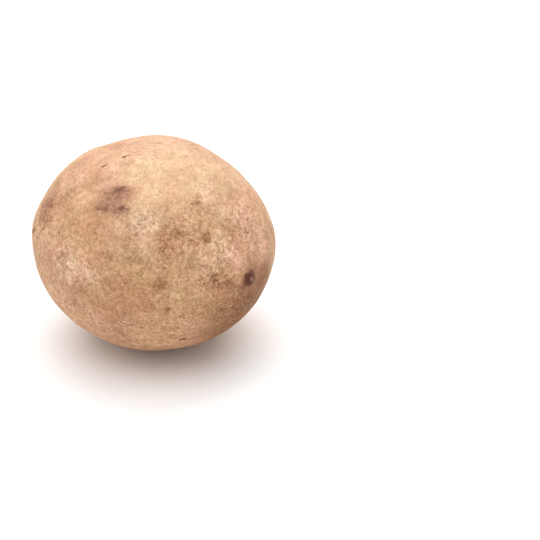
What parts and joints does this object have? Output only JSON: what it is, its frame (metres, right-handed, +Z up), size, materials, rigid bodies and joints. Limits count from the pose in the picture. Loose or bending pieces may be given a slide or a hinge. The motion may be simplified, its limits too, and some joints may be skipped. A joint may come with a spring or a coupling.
{
  "type": "sapodilla fruit",
  "caption": "Whole ripe sapodilla: an ovoid, dull tan-brown fruit lying on its side on a small flat spot, with a dry style tip at one end and a round stem scar at the other.",
  "frame": {"origin": "middle of the flat spot that the fruit rests on, under the middle of its bounding box", "axes": "+X from the stem end to the blossom end with its style tip, +Z up, +Y across the fruit"},
  "size_m": [0.0688, 0.0628, 0.0559],
  "materials": {
    "skin": "dull, finely mottled fruit skin"
  },
  "bodies": {
    "root": {"sapodilla": "skin"}
  },
  "joints": []
}
